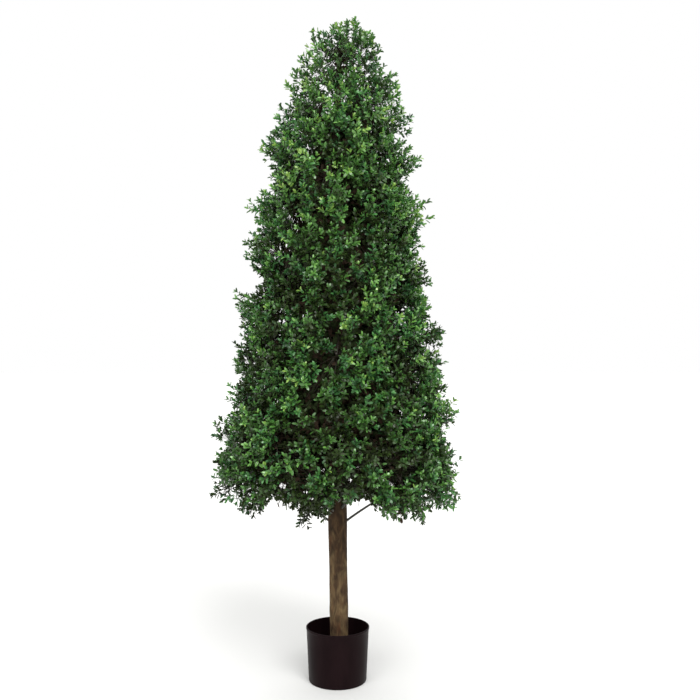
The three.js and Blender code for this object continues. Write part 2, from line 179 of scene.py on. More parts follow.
def makeTrunkBark():
    # A natural wood pole in its thin bark: dull brown, mottled at 10 to 20 mm and finely streaked along
    # its length, with olive-tan worn patches that come more often towards the foot, rusty runs, and painted
    # shade near the top where the crown shades it
    material, tree, shader = newMaterial("naturalBark", "4a3928", 0.88, specular=0.2)
    place = addNode(tree, "TexCoord").outputs["Object"]
    height = addNode(tree, "SeparateXYZ", {"Vector": place}).outputs["Z"]
    drawn = addNode(tree, "Mapping", {"Vector": place, "Scale": (1, 1, 0.45)})
    long = addNode(tree, "Mapping", {"Vector": place, "Scale": (1, 1, 0.18)})
    patterns = [(drawn, 12.5, 5, 0.6), (long, 4, 5, 0.2), (drawn, 25, 4, 0.8), (long, 17.2, 3, 0.6)]
    mottle, streaks, patches, runs = (
        addNode(tree, "TexNoise",
                {"Vector": vector, "Scale": perMetre(size), "Detail": detail, "Distortion": distortion})
        for vector, size, detail, distortion in patterns)
    coat = addNode(tree, "ValToRGB", {"Fac": mottle},
                   [(0.32, "36291d"), (0.48, "463525"), (0.66, "5d4832")])
    # More of the olive-tan patches towards the foot, so the trunk is lighter low down
    lowDown = addNode(tree, "MapRange",
                      {"Value": height, "From Min": 0.40, "From Max": 0.24, "To Min": -0.06, "To Max": 0.05})
    worn = addNode(tree, "Math", {0: patches, 1: lowDown}, operation="ADD")
    # The last coat is painted shade: darker from 0.39 m up, where the crown shades the trunk
    coats = [(worn, 0.50, 0.70, 0.60, "836f4e"), (runs, 0.55, 0.72, 0.55, "5a3722"),
             (streaks, 0.48, 0.28, 0.42, "281e15"), (height, 0.39, 0.50, 0.45, "1d1610")]
    for value, low, high, most, colour in coats:
        share = addNode(tree, "MapRange",
                        {"Value": value, "From Min": low, "From Max": high, "To Max": most})
        # The socket numbers of a colour mix: 0 its factor, 6 and 7 its two colours, 2 its result
        mix = addNode(tree, "Mix", {0: share, 6: coat, 7: hexColour(colour)}, data_type="RGBA")
        coat = mix.outputs[2]
    rough = addNode(tree, "Math", {0: streaks, 1: mottle}, operation="ADD")
    relief = addNode(tree, "Bump", {"Height": rough, "Strength": 0.45, "Distance": 0.0012})
    setInputs(shader, {"Base Color": coat, "Normal": relief})
    return material


def makeBoughBark():
    # Paper tape wound on wire and painted: matt, dark grey-brown, mottled at 4 mm
    material, tree, shader = newMaterial("tapedWire", "3c3a36", 0.75)
    place = addNode(tree, "TexCoord").outputs["Object"]
    mottle = addNode(tree, "TexNoise", {"Vector": place, "Scale": perMetre(4.17), "Detail": 3})
    tint = addNode(tree, "ValToRGB", {"Fac": mottle}, [(0.35, "34322e"), (0.7, "5a5850")])
    setInputs(shader, {"Base Color": tint})
    return material


# Moulded polyethylene leaves, each kind one plain colour and its specular level, dealt out by spray:
# from yellow-green waxy tips that catch small pale glints to the dull, nearly black green that is dealt out
# as painted shade inside
leafLooks = {
    "tipLime": ("84a94c", 0.70), "springGreen": ("659743", 0.70), "freshGreen": ("4d7d36", 0.65),
    "leafGreen": ("3f672c", 0.50), "bottleGreen": ("334f22", 0.36), "deepGreen": ("2d3e19", 0.28),
    "shadeGreen": ("232e14", 0.20),
    "jadeGreen": ("467f3d", 0.65), "seaGreen": ("386834", 0.50), "firGreen": ("2b502a", 0.36),
}
leafKinds = list(leafLooks)
toneKinds = 7               # the first kinds, from the lightest to the darkest
bluerFrom = 2               # the first of those for which some sprays have the bluer kinds after them
bluerShare = 0.30           # of the sprays


def makeLeafPlastic(kind):
    colour, specular = leafLooks[kind]
    return newMaterial(kind, colour, 0.30, 1.51, specular)[0]


# The leaves deep in the crown, painted dark as shade and dull: some of them brown, and more a blackish green
shadeLeafLooks = {"brownShadeLeaf": "3d3025", "greenShadeLeaf": "303c20"}
brownShare = 0.4


def makeShadeLeafPlastic(name):
    return newMaterial(name, shadeLeafLooks[name], 0.9, 1.51, 0.15)[0]


def makeTwigPlastic():
    # Moulded twigs, a dull olive brown
    return newMaterial("twigPlastic", "2b2618", 0.6, 1.51)[0]


# Making and finishing pieces

def finishPiece(piece, material, nodes):
    piece.data.materials.clear()
    piece.data.materials.append(material)
    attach(piece, "root")
    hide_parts(*nodes)


def startEdit(mode):
    bpy.ops.object.mode_set(mode="EDIT")
    bpy.ops.mesh.select_mode(type=mode)


def endEdit():
    bpy.ops.object.mode_set(mode="OBJECT")


def pointsOf(piece):
    flat = np.empty(len(piece.data.vertices) * 3)
    piece.data.vertices.foreach_get("co", flat)
    return flat.reshape(-1, 3)


def movePoints(piece, points):
    piece.data.vertices.foreach_set("co", np.ascontiguousarray(points, float).ravel())
    piece.data.update()


def smoothed(piece, angle):
    bpy.ops.object.select_all(action="DESELECT")
    piece.select_set(True)
    bpy.context.view_layer.objects.active = piece
    bpy.ops.object.shade_smooth_by_angle(angle=math.radians(angle))


def pieceFromArrays(name, points, triangles, angle):
    mesh = bpy.data.meshes.new(name)
    mesh.from_pydata(points.tolist(), [], triangles.tolist())
    piece = bpy.data.objects.new(name, mesh)
    bpy.context.scene.collection.objects.link(piece)
    smoothed(piece, angle)
    return piece


# Pot and its fill

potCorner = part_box("pot")[1]
pot = {
    "height": potCorner.z, "rim": potCorner.x, "foot": 0.0783, "wall": 0.0024,
    "floor": 0.004, "footRound": 0.003, "lipHeight": 0.005, "lipStandOut": 0.0012,
    "sides": 128,
}


def makePot():
    rim, top, foot = pot["rim"], pot["height"], pot["foot"]
    lip, footRound = pot["lipStandOut"], pot["footRound"]
    lipFoot = top - pot["lipHeight"]
    wallTop = rim - lip
    inside = wallTop - pot["wall"]
    soft = pot["lipHeight"] / 4
    halfRound = footRound * (1 - math.sqrt(0.5))
    rings = [
        (foot - halfRound, halfRound),
        (foot, footRound),
        (foot + (wallTop - foot) * 0.35, lipFoot * 0.35),
        (foot + (wallTop - foot) * 0.70, lipFoot * 0.70),
        (wallTop, lipFoot - 0.0012),
        (wallTop + lip * 0.25, lipFoot - 0.0003),
        (rim - lip * 0.25, lipFoot + 0.0003),
        (rim, lipFoot + soft * 0.6),
        (rim, top - soft),
        (rim - soft * 0.3, top - soft * 0.3),
        (rim - soft, top),
        (inside + soft * 0.5, top),
        (inside + soft * 0.1, top - soft * 0.4),
        (inside, top - soft * 1.2),
        (foot - pot["wall"], pot["floor"]),
    ]
    radius, height = foot - footRound, 0
    bpy.ops.mesh.primitive_circle_add(vertices=pot["sides"], radius=radius, fill_type="NGON")
    piece = bpy.context.object
    piece.name = "nursery_pot"
    startEdit("FACE")
    bpy.ops.mesh.select_all(action="SELECT")
    for nextRadius, nextHeight in rings:
        bpy.ops.mesh.extrude_region_move(
            TRANSFORM_OT_translate={"value": (0, 0, nextHeight - height)})
        share = nextRadius / radius
        bpy.ops.transform.resize(value=(share, share, 1))
        radius, height = nextRadius, nextHeight
    bpy.ops.mesh.select_all(action="SELECT")
    bpy.ops.mesh.normals_make_consistent(inside=False)
    endEdit()
    smoothed(piece, 50)
    finishPiece(piece, makePotPlastic(), ["pot"])


fill = {
    "dish": 0.003,      # how far the surface sinks from the pot's wall inwards
    "dishWidth": 0.03, "rings": 22, "sides": 96, "lumps": 0.0012, "lumpsPerMetre": 90,
    "trunkRadius": 0.0225,  # where the rings end
    "footShare": 0.93,  # of its radius, at its underside
}


def makeFill():
    low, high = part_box("pot_fill")
    edgeRadius = high.x
    bpy.ops.mesh.primitive_cylinder_add(vertices=fill["sides"], radius=edgeRadius, depth=high.z - low.z,
                                        location=(0, 0, (low.z + high.z) / 2))
    piece = bpy.context.object
    piece.name = "cast_fill"
    bpy.ops.object.transform_apply(location=True, rotation=True, scale=True)
    startEdit("FACE")
    bpy.ops.mesh.select_all(action="DESELECT")
    endEdit()
    for face in piece.data.polygons:
        face.select = face.normal.z > 0.9
    bpy.ops.object.mode_set(mode="EDIT")
    step = (edgeRadius - fill["trunkRadius"]) / fill["rings"]
    for ring in range(fill["rings"]):
        bpy.ops.mesh.inset(thickness=step)
    endEdit()
    points = pointsOf(piece)
    radius = np.hypot(points[:, 0], points[:, 1])
    top = points[:, 2] > high.z - 1e-5
    foot = points[:, 2] < low.z + 1e-5
    points[foot, :2] *= fill["footShare"]
    dish = fill["dish"] * np.clip((edgeRadius - radius) / fill["dishWidth"], 0, 1)
    lumps = [fill["lumps"] * noise.noise(Vector(point) * fill["lumpsPerMetre"]) for point in points]
    points[:, 2] -= np.where(top & (radius < edgeRadius - 0.001), dish + np.abs(lumps), 0)
    movePoints(piece, points)
    smoothed(piece, 40)
    finishPiece(piece, makeFillCement(), ["pot_fill"])


# Trunk and boughs

trunk = {
    "course": [(0.004, 0, 0.0043), (0.003, -0.001, 0.171), (0, 0, 0.440),
               (-0.002, 0.002, 1.000), (0, 0, 1.662)],
    "footRadius": 0.0242,
    "crownRadius": 0.0256,  # where it goes into the foliage
    "tipRadius": 0.008, "clearHeight": 0.440,
    "knots": 0.0009,    # how far it wanders from round
    "sides": 96,
    "cuts": (17, 17),   # into rings, and each of those again
    "evenRings": 0.38,  # the rest of the rings stand closer together below the foliage
    "ringPower": 2.2,
    # Relief of the bark: height, and waves a metre across and along
    "streaks": (0.0006, 150, 16), "grain": (0.00022, 420, 90),
    "scarWidth": 0.0075, "scarHeight": 0.0095, "scarPit": 0.7,
}
# Scars of cut side shoots: turn in degrees, height, and how far they stand out
trunkScars = [(-100, 0.205, 0.0016), (-35, 0.300, 0.0013), (-140, 0.362, 0.0015), (20, 0.245, 0.0014),
              (95, 0.330, 0.0016), (170, 0.190, 0.0013), (-70, 0.412, 0.0012)]


def hermite(stations, heights):
    knots = np.array(stations)
    z = knots[:, 2]
    slopes = np.gradient(knots[:, :2], z, axis=0)
    part = np.clip(np.searchsorted(z, heights) - 1, 0, len(z) - 2)
    width = (z[part + 1] - z[part])[:, None]
    t = ((heights - z[part]) / width[:, 0])[:, None]
    ends = (2 * t**3 - 3 * t**2 + 1) * knots[part, :2] + (3 * t**2 - 2 * t**3) * knots[part + 1, :2]
    bends = (t**3 - 2 * t**2 + t) * slopes[part] + (t**3 - t**2) * slopes[part + 1]
    return ends + bends * width


def trunkRadius(share, angle):
    length = trunk["course"][-1][2] - trunk["course"][0][2]
    clearShare = trunk["clearHeight"] / length
    below = np.minimum(share / clearShare, 1)
    above = np.maximum((share - clearShare) / (1 - clearShare), 0)
    size = (trunk["footRadius"] + (trunk["crownRadius"] - trunk["footRadius"]) * below
            + (trunk["tipRadius"] - trunk["crownRadius"]) * above)
    wander = np.sin(3 * angle + 19 * share) + np.sin(2 * angle - 43 * share)
    return size + trunk["knots"] * wander * size / trunk["footRadius"] / 2


def cutCylinder(name, sides, rings):
    # A closed cylinder along Z of radius 1 and height 1, cut across again for each number in rings
    bpy.ops.mesh.primitive_cylinder_add(vertices=sides, radius=1, depth=1, location=(0, 0, 0))
    piece = bpy.context.object
    piece.name = name
    for cuts in rings:
        startEdit("EDGE")
        bpy.ops.mesh.select_all(action="DESELECT")
        endEdit()
        points = pointsOf(piece)
        for edge in piece.data.edges:
            a, b = (points[i] for i in edge.vertices)
            edge.select = bool(abs(a[2] - b[2]) > 1e-6)
        bpy.ops.object.mode_set(mode="EDIT")
        bpy.ops.mesh.subdivide(number_cuts=cuts)
        endEdit()
    return piece


def makeTrunk():
    piece = cutCylinder("bark_trunk", trunk["sides"], trunk["cuts"])
    points = pointsOf(piece)
    share = points[:, 2] + 0.5
    angle = np.arctan2(points[:, 1], points[:, 0])
    foot, top = trunk["course"][0][2], trunk["course"][-1][2]
    even = trunk["evenRings"]
    height = foot + (top - foot) * (even * share + (1 - even) * share ** trunk["ringPower"])
    radius = trunkRadius((height - foot) / (top - foot), angle)
    bark = np.stack([np.cos(angle) * radius, np.sin(angle) * radius, height], axis=1)
    relief = np.zeros(len(bark))
    for high, across, along in (trunk["streaks"], trunk["grain"]):
        spots = [Vector((x * across, y * across, z * along)) for x, y, z in bark]
        relief += high * np.array([noise.noise(spot) for spot in spots])
    for turn, level, proud in trunkScars:
        aside = np.angle(np.exp(1j * (angle - math.radians(turn)))) * radius
        reach = (aside / trunk["scarWidth"]) ** 2 + ((height - level) / trunk["scarHeight"]) ** 2
        relief += proud * np.exp(-reach) - trunk["scarPit"] * proud * np.exp(-reach * 5)
    bark[:, :2] *= ((radius + relief) / radius)[:, None]
    bark[:, :2] += hermite(trunk["course"], height)
    movePoints(piece, bark)
    smoothed(piece, 60)
    finishPiece(piece, makeTrunkBark(), ["trunk"])


bough = {
    "count": 6,
    "leaves": 0.421,    # height at which the lowest boughs leave the trunk
    "lifts": (0, 0.027, 0.035, 0, 0.031, 0.039), "reach": 0.112, "rise": 0.066,
    "rootRadius": 0.0034, "tipRadius": 0.0026, "steps": 40, "sides": 20,
    "lumps": 0.00016,   # of the tape
    "lumpsPerMetre": 260,
}


def around(angle, radius, z):
    return np.stack(np.broadcast_arrays(radius * np.cos(angle), radius * np.sin(angle), z), axis=-1)


def boughCourse(number):
    angle = number * 2 * math.pi / bough["count"]
    start = bough["leaves"] + bough["lifts"][number]
    return [around(angle, 0.002, start - 0.008),
            around(angle, bough["reach"] * 0.55, start + bough["rise"] * 0.57),
            around(angle, bough["reach"], start + bough["rise"])]


def bezier(controls, shares):
    # Points on curves, controls as a list of (n, 3) arrays and shares as (m,) or (n, m)
    shares = np.asarray(shares)[..., None]
    level = [np.asarray(control)[..., None, :] for control in controls]
    while len(level) > 1:
        level = [a + (b - a) * shares for a, b in zip(level, level[1:])]
    return level[0]


def unit(vectors):
    return vectors / np.maximum(np.linalg.norm(vectors, axis=-1, keepdims=True), 1e-9)


def turned(side, rise, turn):
    # What stands at each turn from the one direction towards the other
    return side * np.cos(turn)[:, None] + rise * np.sin(turn)[:, None]


def ramp(value, span):
    # From 0 at the first number of the span to 1 at its second
    return np.clip((value - span[0]) / (span[1] - span[0]), 0, 1)


def tubes(courses, rootRadius, tipRadius, sides):
    # Closed tapering tubes along courses (n, m, 3). Gives their points and triangles.
    count, steps = courses.shape[:2]
    heading = unit(np.gradient(courses, axis=1))
    reference = np.where(np.abs(heading[:, :1, 2:]) > 0.8, [[[1.0, 0, 0]]], [[[0, 0, 1.0]]])
    first = unit(np.cross(heading, np.broadcast_to(reference, heading.shape)))
    second = np.cross(heading, first)
    share = np.linspace(0, 1, steps)
    radius = np.asarray(rootRadius)[..., None] * (1 - share) + np.asarray(tipRadius)[..., None] * share
    radius = np.broadcast_to(radius, (count, steps))[..., None, None]
    turn = np.arange(sides) * 2 * math.pi / sides
    ring = turned(first[:, :, None], second[:, :, None], turn)
    points = (courses[:, :, None] + ring * radius).reshape(-1, 3)
    index = np.arange(steps * sides).reshape(steps, sides)
    a, b = index[:-1], np.roll(index, -1, axis=1)[:-1]
    c, d = index[1:], np.roll(index, -1, axis=1)[1:]
    walls = np.concatenate([np.stack([a, b, d], -1).reshape(-1, 3), np.stack([a, d, c], -1).reshape(-1, 3)])
    fan = np.arange(1, sides - 1)
    root = np.stack([np.zeros_like(fan), fan + 1, fan], -1)
    tip = np.stack([np.zeros_like(fan), fan, fan + 1], -1) + (steps - 1) * sides
    one = np.concatenate([walls, root, tip])
    triangles = (one[None] + np.arange(count)[:, None, None] * steps * sides).reshape(-1, 3)
    return points, triangles


def makeBoughs():
    bark = makeBoughBark()
    for number in range(bough["count"]):
        course = bezier(boughCourse(number), np.linspace(0.12, 1, bough["steps"]))[None]
        points, triangles = tubes(course, bough["rootRadius"], bough["tipRadius"], bough["sides"])
        tape = [noise.noise(Vector(point) * bough["lumpsPerMetre"]) for point in points]
        lumps = [1 + bough["lumps"] * high / bough["tipRadius"] for high in tape]
        middle = np.repeat(course[0], bough["sides"], axis=0)
        points = middle + (points - middle) * np.array(lumps)[:, None]
        piece = pieceFromArrays(f"taped_bough_{number + 1}", points, triangles, 60)
        finishPiece(piece, bark, [f"bough_{number + 1}"])


# The crown: its outline, and the masses that the frame divides it into

crown = {
    "foot": 0.452,
    "top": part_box("crest_mass")[1].z,
    "reach": 0.348,
    "taper": 0.47,      # the power that bends the cone's side outwards
    "waist": 0.011,     # how far the side falls in below its middle and swells above it
    "waistSpan": (0.750, 1.800),
    "edge": 0.504,      # height of the lower edge, where the side turns under
    "edgeRound": 0.045,
    "belly": 0.486,     # height of the underside by the trunk
    "hollow": 0.055,    # no growth nearer to the trunk than this, underneath
    "lean": 0.026,      # how far the top stands to the right of the trunk
    "leanSpan": (1.380, 1.668),
    "furthest": 0.340,  # no leaf further than this before or behind the trunk
    "lowest": 0.405,    # and none lower
}
# From the foot up: floor, how many masses stand round the trunk, and the first one's turn
tiers = [("skirt", 0.452, 6, 0), ("lower", 0.716, 6, 30), ("middle", 0.972, 5, 12),
         ("upper", 1.218, 5, 48), ("shoulder", 1.450, 4, 20), ("crest", 1.668, 1, 0)]
# Floors wave round the crown and droop outwards, and the seams between masses slant
seam = {"wave": 0.015, "waves": 3, "droop": 0.4, "slant": 0.16}


def sideRadius(z):
    rise = ramp(z, (crown["foot"], crown["top"]))
    part = ramp(z, crown["waistSpan"])
    return crown["reach"] * (1 - rise) ** crown["taper"] - crown["waist"] * np.sin(2 * math.pi * part)


def leanAt(z):
    rise = ramp(z, crown["leanSpan"])
    return crown["lean"] * rise * rise * (3 - 2 * rise)


def depthOf(place):
    # How far each spot lies inside the crown's side
    return sideRadius(place[:, 2]) - np.hypot(place[:, 0] - leanAt(place[:, 2]), place[:, 1])


def crownOutline():
    # Radius and height from the underside by the trunk, round the lower edge and up to the top
    bend = crown["edgeRound"]
    rim = sideRadius(crown["edge"] + bend) - bend
    under = np.linspace(crown["hollow"], rim, 60)
    floor = crown["belly"] + (crown["edge"] - crown["belly"]) * (under / rim) ** 2
    turn = np.linspace(-80, -10, 12) * math.pi / 180
    corner = np.stack([rim + bend * np.cos(turn), crown["edge"] + bend + bend * np.sin(turn)], 1)
    height = np.linspace(crown["edge"] + bend, crown["top"], 700)
    side = np.stack([sideRadius(height), height], 1)
    return np.concatenate([np.stack([under, floor], 1), corner, side])


def spreadOver(outline, count):
    # Spots spread evenly over the surface that the outline sweeps, with the normal at each
    step = np.diff(outline, axis=0)
    length = np.hypot(step[:, 0], step[:, 1])
    middle = (outline[1:] + outline[:-1]) / 2
    area = np.concatenate([[0], np.cumsum(middle[:, 0] * length)])
    wanted = (np.arange(count) + 0.5 + random.uniform(-0.35, 0.35, count)) / count * area[-1]
    radius = np.interp(wanted, area, outline[:, 0])
    height = np.interp(wanted, area, outline[:, 1])
    part = np.clip(np.searchsorted(area, wanted) - 1, 0, len(step) - 1)
    slope = unit(step[part])
    angle = np.arange(count) * goldenAngle + random.uniform(-0.05, 0.05, count) / (radius + 0.05)
    normal = around(angle, slope[:, 1], -slope[:, 0])
    place = around(angle, radius, height)
    place[:, 0] += leanAt(height)
    return place, normal, angle


# The crown as seen from the front, in the plane of the trunk: spots where its outline turns, in
# millimetres. Its sides as height and x, from below, and its lower edge and top as x and height
seenOutline = {
    "left": [
        (500, -360), (565, -325), (600, -345), (635, -315), (675, -350), (720, -300), (765, -310),
        (810, -300), (830, -260), (855, -290), (940, -265), (1030, -290), (1060, -265), (1140, -245),
        (1185, -260), (1245, -225), (1295, -260), (1335, -210), (1405, -190), (1445, -220), (1490, -195),
        (1535, -175),
    ],
    "right": [
        (500, 330), (525, 340), (555, 320), (610, 340), (675, 300), (720, 335), (765, 320), (805, 305),
        (830, 285), (870, 300), (905, 275), (940, 300), (965, 275), (1005, 260), (1070, 250), (1095, 260),
        (1145, 235), (1185, 240), (1225, 225), (1280, 240), (1335, 210), (1380, 200), (1425, 235),
        (1470, 195), (1515, 205),
    ],
    "lower": [
        (-345, 495), (-300, 480), (-255, 450), (-210, 440), (-165, 490), (-125, 460), (-80, 405),
        (-35, 425), (100, 455), (165, 430), (205, 430), (230, 445), (270, 455), (300, 495), (340, 525),
    ],
    "top": [
        (-180, 1525), (-165, 1575), (-142, 1640), (-110, 1700), (-85, 1730), (-74, 1782), (-30, 1780),
        (-15, 1800), (25, 1808), (40, 1820), (55, 1810), (70, 1780), (95, 1770), (118, 1740), (130, 1660),
        (160, 1660), (174, 1585), (205, 1530),
    ],
}
seenOutline = {name: np.array(spots) / 1000 for name, spots in seenOutline.items()}
shaping = {
    "rounds": 20,       # how often the crown is grown and brought nearer to its outline
    "share": 0.4,       # of what is missing, made up in a round
    "evening": 0.02,    # of the difference from its neighbours, taken off each spot in a round
    "near": 0.011,      # how near to a spot of the outline the leaves are that are measured there
    "furthest": 2,      # the leaf that counts there, from the outermost
    "most": 0.058,      # how far a side or the lower edge may be moved
    "wide": 0.10,       # how far round the crown a side is moved
    "hangTop": 0.600,   # height up to which the lower edge is moved
    "hangFade": 0.06,   # and under it, the height over which this sets in
    "hangDeep": 0.10,   # and the depth over which it does, about the middle
}
# What the rounds have found, for each spot of the outline
moved = {name: np.zeros(len(seenOutline[name])) for name in ("left", "right", "lower")}
# Clumps that hang under the crown, and a row of them along its top: from where to where, and how far under
tufts = [(-0.322, 0.02, 0.512), (-0.222, -0.10, 0.490), (-0.086, -0.06, 0.452), (-0.054, -0.05, 0.470),
         (0.165, -0.12, 0.488)]
topTufts = {"count": 15, "from": -0.164, "to": 0.182, "under": 0.022}


def fromFront(place):
    # Where a spot is seen from the front, in the plane of the trunk
    eye = np.array(camera["place"])
    return eye + (place - eye) * (-eye[1] / (place[:, 1] - eye[1]))[:, None]


def alongOutline(name, steps, values):
    return np.interp(steps, seenOutline[name][:, 0], values)


def topAt(x):
    return alongOutline("top", x, seenOutline["top"][:, 1])


def standOut(place, angle):
    out = np.zeros(len(place))
    for side, turn in (("left", math.pi), ("right", 0)):
        aside = np.angle(np.exp(1j * (angle - turn))) * np.hypot(place[:, 0], place[:, 1])
        out += alongOutline(side, place[:, 2], moved[side]) * np.exp(-(aside / shaping["wide"]) ** 2)
    return out


def hangDown(place):
    near = np.clip(0.3 - place[:, 1] / shaping["hangDeep"], 0, 1)
    near = near * np.clip((shaping["hangTop"] - place[:, 2]) / shaping["hangFade"], 0, 1)
    return near * alongOutline("lower", place[:, 0], moved["lower"])


def moveTowardsOutline(tips):
    # Measures how far the leaves reach at each spot of the outline, moves the sides and the lower edge by
    # it, and gives how far off they were
    seen = fromFront(tips)
    missing = []
    for name, across, sign in (("left", 2, -1), ("right", 2, 1), ("lower", 0, -1)):
        for number, (step, wanted) in enumerate(seenOutline[name]):
            near = np.abs(seen[:, across] - step) < shaping["near"]
            if near.sum() < shaping["furthest"]:
                continue
            reach = np.sort(sign * seen[near, 2 - across])[-shaping["furthest"]]
            missing.append(abs(sign * wanted - reach))
            moved[name][number] += shaping["share"] * (sign * wanted - reach)
        before = np.append(moved[name][0], moved[name][:-1])
        after = np.append(moved[name][1:], moved[name][-1])
        moved[name] += shaping["evening"] * ((before + after) / 2 - moved[name])
        np.clip(moved[name], -shaping["most"], shaping["most"], out=moved[name])
    return np.mean(missing)


def massOf(place):
    # The tier, from 0, and the number of the mass whose space holds each spot
    x = place[:, 0] - leanAt(place[:, 2])
    radius, angle = np.hypot(x, place[:, 1]), np.arctan2(place[:, 1], x)
    depth = sideRadius(place[:, 2]) - radius
    level = place[:, 2] - seam["wave"] * np.sin(seam["waves"] * angle) - seam["droop"] * depth
    floors, counts, turns = (np.array(column) for column in list(zip(*tiers))[1:])
    tier = np.clip(np.searchsorted(floors, level) - 1, 0, len(tiers) - 1)
    tops = np.append(floors[1:], crown["top"])
    up = (level - (floors[tier] + tops[tier]) / 2) / (tops[tier] - floors[tier]) * 2
    turn = (angle - np.radians(turns[tier]) - seam["slant"] * up) / (2 * math.pi) * counts[tier]
    return tier, np.round(turn).astype(int) % counts[tier]


stem = {"from": 0.12, "reach": 0.80}    # where it leaves the trunk in its tier, and how far out it ends


def stemControls():
    # Each mass's stem as its curve's three controls: off a bough's tip, off the trunk, or on from its tip
    stems = {}
    for index, (name, floor, count, turn) in enumerate(tiers[:-1]):
        tall = tiers[index + 1][1] - floor
        for number in range(count):
            angle = math.radians(turn) + number * 2 * math.pi / count
            height = floor + tall / 2
            height += seam["wave"] * math.sin(seam["waves"] * angle)
            height += seam["droop"] * sideRadius(height) * (1 - stem["reach"])
            end = around(angle, sideRadius(height) * stem["reach"], height)
            end[0] += leanAt(height)
            if name == "skirt":
                tip, knee = boughCourse(number)[2], boughCourse(number)[1]
                start = tip
                middle = tip + unit(tip - knee) * np.linalg.norm(end - tip) / 2
            else:
                start = around(angle, 0.002, floor + tall * stem["from"])
                middle = (start + end) / 2 + np.array([0, 0, (end[2] - start[2]) * 0.1])
            stems[index, number] = (start, middle, end)
    tip = np.array(trunk["course"][-1])
    high = np.array([crown["lean"], 0, (tiers[-1][1] + crown["top"]) / 2 + 0.01])
    stems[len(tiers) - 1, 0] = (tip, (tip + high) / 2, high)
    return stems


clump = {
    "count": 1100,
    "inset": 0.036,     # of a clump's middle, under the crown's outline, low down
    "highInset": 0.043,
    "airySpan": (1.050, 1.450),  # heights between which the outline gets airier
    "swells": 0.007,    # how far whole groups of clumps stand out or fall in
    "swellsPerMetre": 7.5,
    "depth": 0.042,     # from its middle back to where its sprays fork
    "radius": 0.0305,
    "least": 0.70,      # share of that radius that the smallest clump has
    "most": 1.22, "dome": 0.012, "unevenness": 0.009,
    "thinSpan": (1.420, 1.830),  # and between which the sprays get fewer, down to this share
    "thinShare": 0.290,
}
# Clumps inside the top, which the thin leaves about it would leave bare
crest = {"count": 4, "from": 1.570, "to": 1.780, "share": 0.60}
branch = {
    "from": 0.45,       # shares of a stem's length between which its branches leave it
    "to": 0.97,
    "bend": 0.35,       # how long each end keeps its direction, as a share of the branch
    "rise": 0.45,       # how steeply it comes up to its clump
}
spray = {
    "each": 5.9,        # in a clump of the usual size
    "fewest": 3,
    "whips": 0.0060,    # how far, on the whole, sprays stand out beyond their clump, low down
    "highWhips": 0.0120, "longestWhip": 0.030,
    "outwards": 0.8,    # how far they head out of the crown, and how far apart
    "apart": 0.7, "sway": 0.26,
    "bend": 0.5,        # the share of their length in which they turn to their heading
    "forkRound": 0.003,  # how far apart they leave the branch, across and along it
    "forkAlong": 0.012, "pairs": 4, "pairGap": 0.0094,
    "lift": 0.50,       # how far they turn upwards
    "liftBelow": -0.05,  # and those under the crown
}
leaf = {
    "length": 0.0163, "width": 0.0078,
    "cup": 0.22,        # how far the margins stand up and the tip bends down, in lengths
    "curl": 0.10,
    "share": 0.95,      # of the leaves that are there
    "least": 0.85,      # shares of the size that the smallest and the largest have
    "most": 1.12,
    "young": 0.78,      # and the share that those at the tip have
    "opening": 32,      # degrees between the twig and the youngest leaves, and more for each pair
    "openingStep": 9, "openingSway": 0.26, "turnSway": 0.35,
    "skywards": 0.3,    # how far the faces turn up, and how far they differ
    "tilt": 0.30,
    "off": 0.0006,      # from the middle of the twig
}
# Steps along each, radius at its root and at its tip, and sides
twigSizes = {
    "spray_twigs": (3, 0.0009, 0.0005, 3), "branches": (7, 0.0014, 0.0009, 4),
    "stems": (14, 0.0040, 0.0026, 8), "inner_twigs": (3, 0.0008, 0.0005, 3),
    "heart_twigs": (4, 0.0009, 0.0006, 3),
}


def airAt(place):
    return ramp(place[:, 2], clump["airySpan"])


def swellAt(place):
    # From -1 to 1, alike for neighbouring clumps
    return np.clip([2 * noise.noise(Vector(spot) * clump["swellsPerMetre"]) for spot in place], -1, 1)


def placeClumps():
    place, normal, angle = spreadOver(crownOutline(), clump["count"])
    rough = random.normal(0, clump["unevenness"], len(place)) + clump["swells"] * swellAt(place)
    inset = clump["inset"] + (clump["highInset"] - clump["inset"]) * airAt(place)
    place = place + normal * (rough - inset)[:, None]
    place = place + around(angle, standOut(place, angle), -hangDown(place))
    x = np.linspace(topTufts["from"], topTufts["to"], topTufts["count"])
    high = np.stack([x, np.zeros(len(x)), topAt(x) - topTufts["under"]], 1)
    extra = np.concatenate([np.array(tufts), high])
    outwards = extra - np.array([0.02, 0, 1.0])
    outwards[:, 2] = np.where(extra[:, 2] > 1, 0.12, -0.10)
    height = random.uniform(crest["from"], crest["to"], crest["count"])
    reach = sideRadius(height) * crest["share"] * np.sqrt(random.random(crest["count"]))
    inside = around(np.arange(crest["count"]) * goldenAngle, reach, height)
    upwards = inside * [1, 1, 0] + np.array([0, 0, 0.06])
    inside[:, 0] += leanAt(height)
    place = np.concatenate([place, extra, inside])
    normal = np.concatenate([normal, unit(outwards), unit(upwards)])
    return place, normal


def growBranches(place, normal, stems):
    # A branch from the stem of the mass that holds a clump to the fork of that clump's sprays, and
    # whether it is clear of the clearings
    tier, number = massOf(place)
    controls = np.array([stems[key] for key in zip(tier.tolist(), number.tolist())])
    share = random.uniform(branch["from"], branch["to"], len(place))
    start = bezier(list(controls.transpose(1, 0, 2)), share[:, None])[:, 0]
    along = unit(controls[:, 2] - controls[:, 1])
    fork = place - normal * clump["depth"]
    reach = np.linalg.norm(fork - start, axis=1)[:, None]
    arrival = unit(normal + np.array([0, 0, branch["rise"]]))
    curve = [start, start + along * reach * branch["bend"], fork - arrival * reach * branch["bend"], fork]
    passed = bezier(curve, [0.3, 0.5, 0.7, 0.85, 1])
    return curve, ~isOpen(passed.reshape(-1, 3), clearings).reshape(len(place), -1).any(axis=1)


